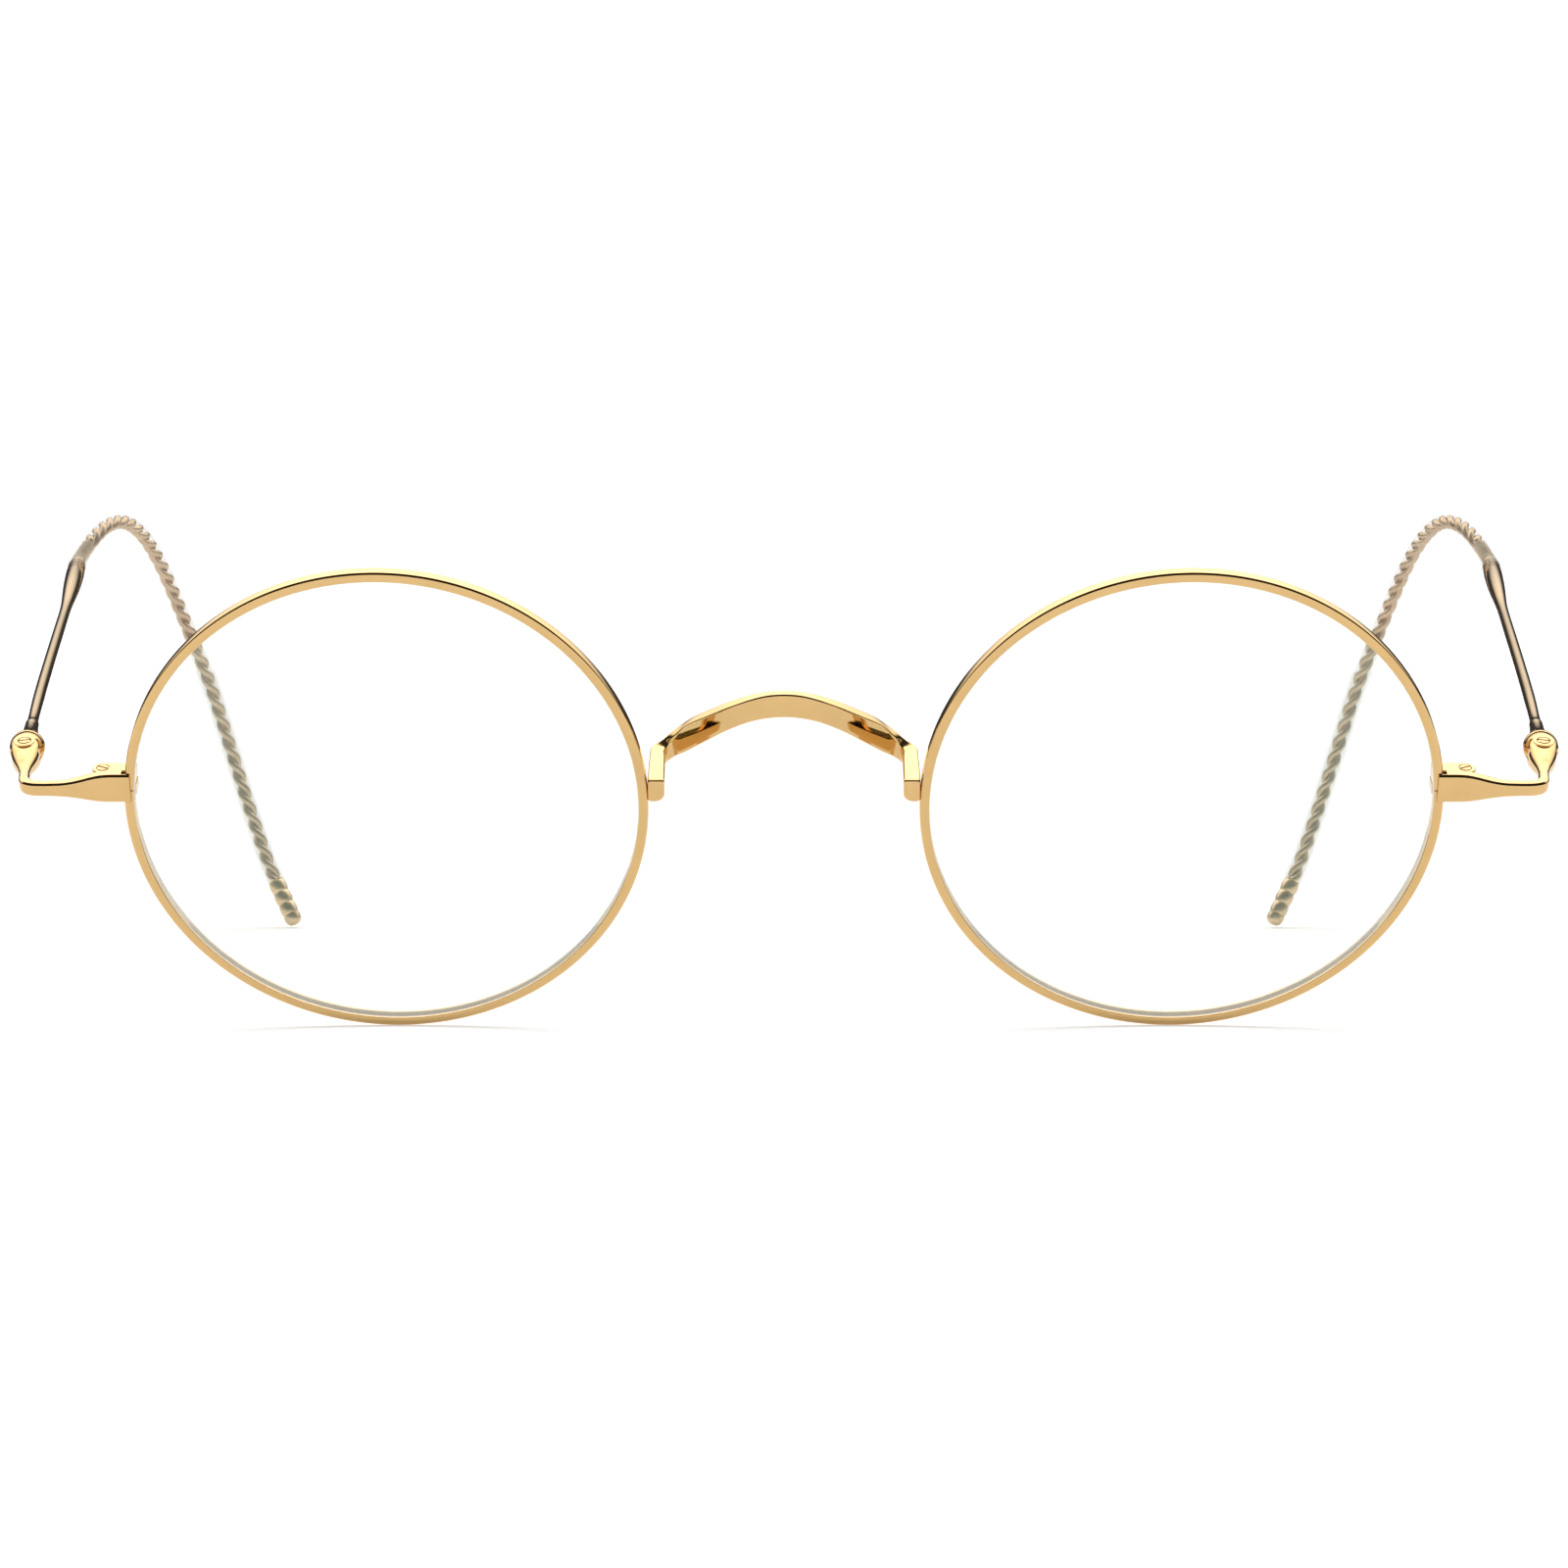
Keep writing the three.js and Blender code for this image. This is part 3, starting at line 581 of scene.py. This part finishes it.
def endpiece(side):
    """Plate on the rim, bar, bend and vase-shaped hinge bulb in one sweep."""
    # Station: centre u, centre v, heading in degrees from u towards v, half thickness,
    # lower and upper edge, corner rounding.
    stations = [
        (55.75, 0.27, 0, 0.62, 0.56, 3.28, 0.34),
        (56.6, 0.27, 0, 0.62, 0.56, 3.28, 0.34),
        (57.6, 0.27, 0, 0.62, 0.57, 3.27, 0.34),
        (58.4, 0.26, 0, 0.61, 0.60, 3.19, 0.34),
        (59.1, 0.25, 0, 0.60, 0.70, 3.03, 0.33),
        (59.9, 0.23, 0, 0.58, 0.86, 2.80, 0.32),
        (60.7, 0.20, 0, 0.55, 1.00, 2.60, 0.31),
        (61.6, 0.16, 0, 0.51, 1.11, 2.46, 0.3),
        (62.6, 0.13, 0, 0.48, 1.16, 2.42, 0.3),
        (63.5, 0.14, 4, 0.48, 1.16, 2.41, 0.3),
        (64.3, 0.30, 22, 0.49, 1.15, 2.40, 0.31),
        (64.8, 0.72, 52, 0.49, 1.13, 2.39, 0.32),
        (65.02, 1.30, 74, 0.47, 1.12, 2.38, 0.38),
        (65.12, 1.95, 84, 0.45, 1.12, 2.37, 0.43),
        (65.22, 2.60, 86, 0.47, 1.10, 2.38, 0.46),
        (65.32, 3.20, 86, 0.60, 0.98, 2.48, 0.58),
        (65.43, 3.90, 86, 0.83, 0.76, 2.64, 0.80),
        (65.53, 4.70, 86, 1.07, 0.54, 2.79, 0.95),
        (65.62, 5.50, 87, 1.21, 0.45, 2.90, 0.80),
        (65.70, 6.20, 88, 1.24, 0.43, 2.94, 0.60),
    ]
    line = smooth_line(stations, 5)

    def ring(u, v, heading, half, low, high, corner):
        a = radians(heading)
        corner = min(corner, half - 0.01, (high - low) / 2 - 0.01)
        outline = rounded([(-half, low, corner), (half, low, corner),
                           (half, high, corner), (-half, high, corner)])
        # x runs from the back face of the bar to its front, square to the heading.
        return [Vector((u + x * sin(a), v - x * cos(a), y)) for x, y in outline]

    # The plate's end has a bevelled edge.
    u, v, heading, half, low, high, corner = line[0]
    rings = [ring(u, v, heading, half - inset, low + inset, high - inset, corner)
             for inset in (0.1, 0.03)]
    rings.append(ring(u + 0.1, *line[0][1:]))
    rings += [ring(*station) for station in line[1:]]
    # The bulb closes over the hinge's round end.
    for k in range(1, 15):
        a = (pi / 2) * k / 14.5
        half = KNUCKLE_R * cos(a)
        rings.append(ring(HINGE.x, HINGE.y + KNUCKLE_R * sin(a), 90,
                          half, KNUCKLE_BOTTOM, BULB_TOP, min(0.6, half * 0.9)))
    obj = finish_mesh("endpiece", *skin(rings), side=side, sharp=40.0)
    # Behind its shoulders the bulb is turned down to the knuckle that the temple goes round.
    knuckle = KNUCKLE_R + 0.02
    shoulder = 0.72
    start = atan2(-shoulder, sqrt(knuckle ** 2 - shoulder ** 2))
    angles = [start + (pi / 2 - start) * k / 24 for k in range(25)]
    flank = [(knuckle * cos(a), knuckle * sin(a)) for a in angles]
    flank += [(0, 2.5), (2.5, 2.5), (2.5, -shoulder)]
    flank_cuts = [skin([[Vector((HINGE.x + way * x, HINGE.y + y, w)) for x, y in flank]
                        for w in (-1, 6)]) for way in (1, -1)]
    # A raised disc, both flanks, the rim's seat behind the plate, the slot for the
    # temple's tongue, the screw hole and the seat of the screw's head.
    return boolean(obj, [
        ("UNION", post(HINGE.x, HINGE.y, 0.88, 2.6, KNUCKLE_TOP + 0.02, 64)),
        ("DIFFERENCE", flank_cuts[0]),
        ("DIFFERENCE", flank_cuts[1]),
        ("DIFFERENCE", block(55, 56.47, -0.05, 3, -1, 5)),
        ("DIFFERENCE", post(HINGE.x, HINGE.y, KNUCKLE_R + 0.1, 1.24, 2.24, 96)),
        ("DIFFERENCE", post(HINGE.x, HINGE.y, SCREW_HOLE_R, 0.47, 2.95, 48)),
        ("DIFFERENCE", post(HINGE.x, HINGE.y, HINGE_HEAD_R + 0.07, 2.84, 6, 64)),
    ], side)


def screw(name, u, v, head_r, bottom, head_bottom, top, turn, side):
    """Slotted screw; turn is the slot's heading in degrees."""
    bevel, rounding = 0.06, 0.1
    profile = [(0, bottom), (SCREW_R - bevel, bottom), (SCREW_R, bottom + bevel),
               (SCREW_R, head_bottom), (head_r, head_bottom)]
    for k in range(6):
        a = (pi / 2) * k / 5
        profile.append((head_r - rounding * (1 - cos(a)), top - rounding + rounding * sin(a)))
    profile.append((0, top + 0.01))
    obj = finish_mesh(name, *turned(profile, (u, v, 0), (0, 0, 1), 64), side=side)
    half = head_r * 0.17
    deep = top - (top - head_bottom) * 0.75
    slot_block = block(-head_r - 1, head_r + 1, -half, half, deep, top + 1)
    a = radians(turn)
    verts = [(u + x * cos(a) - y * sin(a), v + x * sin(a) + y * cos(a), z)
             for x, y, z in slot_block[0]]
    return boolean(obj, [("DIFFERENCE", (verts, slot_block[1]))], side)


def lock(name, bottom, top, counterbore, side):
    """Closing block behind the rim with its screw hole."""
    inner, clear_u = 55.5, 56.5
    behind_rim = RIM_DEPTH + GAP
    behind_plate = PLATE_FRONT + PLATE_THICKNESS + GAP
    back = 2 * LOCK_SCREW[1] - behind_plate
    radius = (back - behind_plate) / 2
    outline = [(inner, behind_rim), (clear_u, behind_rim), (clear_u, behind_plate),
               (LOCK_SCREW[0], behind_plate)]
    for k in range(1, 24):
        a = -pi / 2 + pi * k / 24
        outline.append((LOCK_SCREW[0] + radius * cos(a), LOCK_SCREW[1] + radius * sin(a)))
    outline += [(LOCK_SCREW[0], back), (inner, back)]
    obj = finish_mesh(name, *prism(outline, bottom, top, 0.14), side=side)
    tools = [("DIFFERENCE", post(*LOCK_SCREW, SCREW_HOLE_R, bottom - 1, top + 1, 48))]
    if counterbore:
        tools.append(("DIFFERENCE", post(*LOCK_SCREW, LOCK_HEAD_R + 0.05,
                                         top - counterbore, top + 1, 64)))
    return boolean(obj, tools, side)


# ---------------------------------------------------------------- temple pieces
def temple_arm(side):
    """Tongue, half bulb, wire and socket, turned along a slightly bowed line."""
    # Radius and distance from the hinge.
    profile = [
        (1.36, 0.9), (1.46, 1.1), (1.48, 1.55), (1.38, 1.68), (1.38, 1.95), (1.5, 2.1),
        (1.5, 2.5), (1.38, 2.8), (1.16, 3.3), (0.98, 4.1), (0.82, 5.3), (0.70, 6.8),
        (0.62, 8.6), (0.585, 10.1),
        (WIRE_R, 10.35), (WIRE_R, 20.0), (WIRE_R, 32.0), (WIRE_R, 44.0), (WIRE_R, 55.0),
        (0.58, 58.0), (0.68, 61.0), (0.82, 65.0), (0.9, 68.5), (0.92, 72.0), (0.88, 75.0),
        (0.82, ARM_LENGTH - 0.1), (0.74, ARM_LENGTH),
    ]
    bow = [(0, 0), (4, 0.02), (10, 0.14), (20, 0.2), (32, 0.16), (45, 0.06), (58, -0.04),
           (70, -0.04), (ARM_LENGTH - 1, 0), (ARM_LENGTH, 0)]
    path = Path([HINGE + ARM * s + Vector((b, 0, 0)) for s, b in bow])
    stations = [(s, r) for r, s in smooth_line(profile, 6)]
    obj = finish_mesh("temple_arm", *tube(path, stations, 64), side=side, sharp=45.0)
    # The tongue's lower and upper face lie just inside the slot of the bulb.
    low, high = 1.30, 2.18
    tongue = prism([(HINGE.x + 0.8, HINGE.y), (HINGE.x + 0.9, HINGE.y + 2.1),
                    (HINGE.x - 0.8, HINGE.y + 2.1), (HINGE.x - 0.8, HINGE.y)], low, high, 0.03)
    # Room on the inner side for the flank of the bulb when the temple is folded in.
    relief_cut = block(HINGE.x - 3, HINGE.x - 0.78, HINGE.y - 1, HINGE.y + 1.36, -4, 6)
    return boolean(obj, [
        ("DIFFERENCE", relief_cut),
        ("DIFFERENCE", post(HINGE.x, HINGE.y, KNUCKLE_R + GAP, -4, 6, 96)),
        ("UNION", post(HINGE.x, HINGE.y, KNUCKLE_R - 0.04, low, high, 96)),
        ("UNION", tongue),
        ("DIFFERENCE", turned([(0, ARM_LENGTH - 3), (0.5, ARM_LENGTH - 3),
                               (0.5, ARM_LENGTH + 1), (0, ARM_LENGTH + 1)], HINGE, ARM, 48)),
    ], side)


CABLE = Path([SOCKET - ARM * CORE_START, SOCKET, SOCKET + ARM * 1.6]
             + [Vector(p) for p in CABLE_ROUTE]
             + [CAP_MOUTH, CAP_MOUTH + CAP_DIRECTION * CAP_INSET])
ROPE_START = CORE_START + BINDING_LENGTH


def cable(side):
    """Core in the socket, then two strands laid round each other."""
    core = tube(CABLE, [(0.0, 0.36), (0.06, 0.42)]
                + [(0.5 + 0.5 * k, 0.42) for k in range(16)] + [(8.3, 0.34)], 24)
    length = CABLE.length - ROPE_START - 0.05
    turns = length / ROPE_LAY
    strands = [helix(CABLE, ROPE_START + 0.02, CABLE.length - 0.03, turns, 0.36, 0.388,
                     phase, int(length / 0.16), 14) for phase in (0.6, 0.6 + pi)]
    return finish_mesh("cable", *merged([core] + strands), side=side, sharp=60.0)


def binding(side):
    """Close winding of fine wire between the socket and the rope."""
    start, end = CORE_START + 0.2, ROPE_START - 0.16
    turns = round((end - start) / 0.3)
    coil = helix(CABLE, start, end, turns, 0.565, 0.142, 0.0, turns * 20, 10)
    return finish_mesh("cable_binding", *coil, side=side, sharp=60.0)


def sleeve(side):
    """Clear tube, widened where it is pushed over the socket."""
    path = Path([HINGE + ARM * (ARM_LENGTH - 3.2), HINGE + ARM * (ARM_LENGTH - 1.6), SOCKET,
                 SOCKET + ARM * 1.6] + [Vector(p) for p in CABLE_ROUTE] + [CAP_MOUTH])
    end = path.length - 0.15
    outer = [(0.0, SLEEVE_MOUTH_R - 0.08), (0.03, SLEEVE_MOUTH_R - 0.02),
             (0.1, SLEEVE_MOUTH_R), (1.5, SLEEVE_MOUTH_R), (3.2, SLEEVE_MOUTH_R - 0.01),
             (3.7, SLEEVE_MOUTH_R - 0.06), (4.3, SLEEVE_OUTER_R)]
    inner = [(0.0, 0.99), (1.5, 0.98), (3.3, 0.97), (3.8, 0.9), (4.3, SLEEVE_INNER_R)]
    count = int((end - 4.8) / 0.5)
    run = [4.8 + (end - 4.8) * k / count for k in range(count + 1)]
    stations = outer + [(s, SLEEVE_OUTER_R) for s in run]
    stations += [(s, SLEEVE_INNER_R) for s in reversed(run)] + list(reversed(inner))
    return finish_mesh("cable_sleeve", *tube(path, stations, 40, joined=True), side=side,
                       sharp=50.0)


def tip_cap(side):
    """Turned cup with three beads and a rounded end."""
    profile = [(0, CAP_INSET + 0.1), (CABLE_R + 0.08, CAP_INSET + 0.1),
               (CABLE_R + 0.08, 0.05), (CABLE_R + 0.11, 0.0), (CAP_R - 0.08, 0.0)]
    beads = 3
    start, bead, swell = 0.05, 1.43, 0.17
    for b in range(beads):
        for k in range(13):
            t = k / 12
            profile.append((CAP_R - swell + swell * (sin(pi * t) ** 0.6 if 0 < t < 1 else 0.0),
                            start + bead * (b + t)))
    tail = start + beads * bead
    for k in range(1, 13):
        t = k / 12
        profile.append(((CAP_R - 0.02) * (1 - t ** 3.2) ** (1 / 2.2) if t < 1 else 0.0,
                        tail + (CAP_LENGTH - tail) * t))
    return finish_mesh("tip_cap", *turned(profile, CAP_MOUTH, CAP_DIRECTION, 64), side=side,
                       sharp=50.0)


# ---------------------------------------------------------------- assembly
dress(bridge(), GOLD, "front", "bridge")
for label, side in (("left", 1), ("right", -1)):
    body = f"{label}_temple"

    def place(obj, material, owner, node):
        obj.name = f"{label}_{node}_finish"
        return dress(obj, material, owner, f"{label}_{node}")

    place(rim(side), GOLD, "front", "rim")
    glass = lens(side)
    glass.name = f"{label}_lens_finish"
    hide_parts(f"{label}_lens")
    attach(glass, "front")
    place(endpiece(side), GOLD, "front", "endpiece")
    place(lock("lock_upper", SEAM_W + SEAM_HALF, LOCK_TOP, 0.28, side), GOLD, "front",
          "rim_lock_upper")
    place(lock("lock_lower", LOCK_BOTTOM, SEAM_W - SEAM_HALF, 0, side), GOLD, "front",
          "rim_lock_lower")
    place(screw("lock_screw", *LOCK_SCREW, LOCK_HEAD_R, LOCK_BOTTOM + 0.1,
                LOCK_TOP - 0.22, LOCK_TOP + 0.03, 24, side), GOLD, "front",
          "rim_lock_screw")
    place(screw("hinge_screw", HINGE.x, HINGE.y, HINGE_HEAD_R, KNUCKLE_BOTTOM + 0.05,
                KNUCKLE_TOP - 0.15, KNUCKLE_TOP + 0.05, -12, side), GOLD, "front",
          "hinge_screw")
    place(temple_arm(side), GOLD, body, "temple_arm")
    place(cable(side), ROPE, body, "cable")
    place(binding(side), WINDING, body, "cable_binding")
    place(sleeve(side), SLEEVE, body, "cable_sleeve")
    place(tip_cap(side), TIP_GOLD, body, "tip_cap")

# ---------------------------------------------------------------- studio
FLOOR_REACH = 1.3
FLOOR_LEVEL = -0.00002
floor_mesh = bpy.data.meshes.new("floor")
floor_mesh.from_pydata([(x * FLOOR_REACH, y * FLOOR_REACH, FLOOR_LEVEL)
                        for x, y in ((-1, -1), (1, -1), (1, 1), (-1, 1))], [], [(0, 1, 2, 3)])
floor = bpy.data.objects.new("floor", floor_mesh)
bpy.context.scene.collection.objects.link(floor)
paper, tree, shader = nodes_of("white_paper")
white = ramp(tree, noise(tree, 30.0), [(0.3, grey(0.74)), (0.7, grey(0.77))])
tree.links.new(white, shader.inputs["Base Color"])
shader.inputs["Roughness"].default_value = 0.9
shader.inputs["Specular IOR Level"].default_value = 0.1
shader.inputs["Emission Color"].default_value = (1, 1, 1, 1)
shader.inputs["Emission Strength"].default_value = 0.43
floor.data.materials.append(paper)

lamp = bpy.data.lights.new("overhead", "AREA")
lamp.shape = "RECTANGLE"
lamp.size = 1.2
lamp.size_y = 0.9
lamp.energy = 0.9
overhead = bpy.data.objects.new("overhead", lamp)
overhead.location = (0, 0.35, 1.0)
overhead.rotation_euler = Vector((0, 0, -1)).to_track_quat("-Z", "Y").to_euler()
bpy.context.scene.collection.objects.link(overhead)

world = bpy.data.worlds.new("studio")
bpy.context.scene.world = world
world.use_nodes = True
tree = world.node_tree
tree.nodes.clear()
direction = tree.nodes.new("ShaderNodeTexCoord")
parts = tree.nodes.new("ShaderNodeSeparateXYZ")
tree.links.new(direction.outputs["Generated"], parts.inputs[0])


def arithmetic(operation, *values):
    """Math node of the world; a value is a number or another node's output."""
    node = tree.nodes.new("ShaderNodeMath")
    node.operation = operation
    for socket, value in zip(node.inputs, values):
        if isinstance(value, float):
            socket.default_value = value
        else:
            tree.links.new(value, socket)
    return node.outputs["Value"]


# The room is dark in front and low down, and brightens softly overhead and behind. A
# direction counts as higher the further it is to the side.
rise = arithmetic("MULTIPLY_ADD", arithmetic("ABSOLUTE", parts.outputs["X"]), 0.2,
                  parts.outputs["Z"])
height_glow = ramp(tree, rise, [
    (0.0, grey(0.01)), (0.33, grey(0.025)), (0.38, grey(0.14)), (0.44, grey(0.36)),
    (0.52, grey(0.52)), (0.66, grey(0.7)), (0.85, grey(0.92)), (1.0, grey(1.0)),
])
depth_glow = ramp(tree, arithmetic("ADD", parts.outputs["Y"], 0.5), [
    (0.2, grey(0.015)), (0.38, grey(0.025)), (0.46, grey(0.12)), (0.54, grey(0.42)),
    (0.7, grey(0.9)), (0.9, grey(1.0)),
])
glow = tree.nodes.new("ShaderNodeVectorMath")
glow.operation = "MULTIPLY"
tree.links.new(height_glow, glow.inputs[0])
tree.links.new(depth_glow, glow.inputs[1])
room = tree.nodes.new("ShaderNodeBackground")
room.inputs["Strength"].default_value = 2.5
tree.links.new(glow.outputs["Vector"], room.inputs["Color"])

# What the camera sees directly is white paper.
seen = tree.nodes.new("ShaderNodeBackground")
seen.inputs["Color"].default_value = (1, 1, 1, 1)
seen.inputs["Strength"].default_value = 1.25
rays = tree.nodes.new("ShaderNodeLightPath")
mix = tree.nodes.new("ShaderNodeMixShader")
tree.links.new(rays.outputs["Is Camera Ray"], mix.inputs[0])
tree.links.new(room.outputs[0], mix.inputs[1])
tree.links.new(seen.outputs[0], mix.inputs[2])
output = tree.nodes.new("ShaderNodeOutputWorld")
tree.links.new(mix.outputs[0], output.inputs["Surface"])

# ---------------------------------------------------------------- camera
# The rims are seen 30 degrees from their axis.
PITCH = radians(30.0) - LEAN
DISTANCE = 0.343
RISE = 0.00198
forward = Vector((0, cos(PITCH), -sin(PITCH)))
upward = Vector((0, sin(PITCH), cos(PITCH)))
camera_data = bpy.data.cameras.new("camera")
camera_data.lens = 92.07
camera_data.sensor_width = 36.0
camera_data.clip_start = 0.01
camera = bpy.data.objects.new("camera", camera_data)
camera.location = ORIGIN - forward * DISTANCE + upward * RISE
camera.rotation_euler = (pi / 2 - PITCH, 0, 0)
bpy.context.scene.collection.objects.link(camera)
bpy.context.scene.camera = camera
bpy.context.scene.view_settings.view_transform = "Standard"
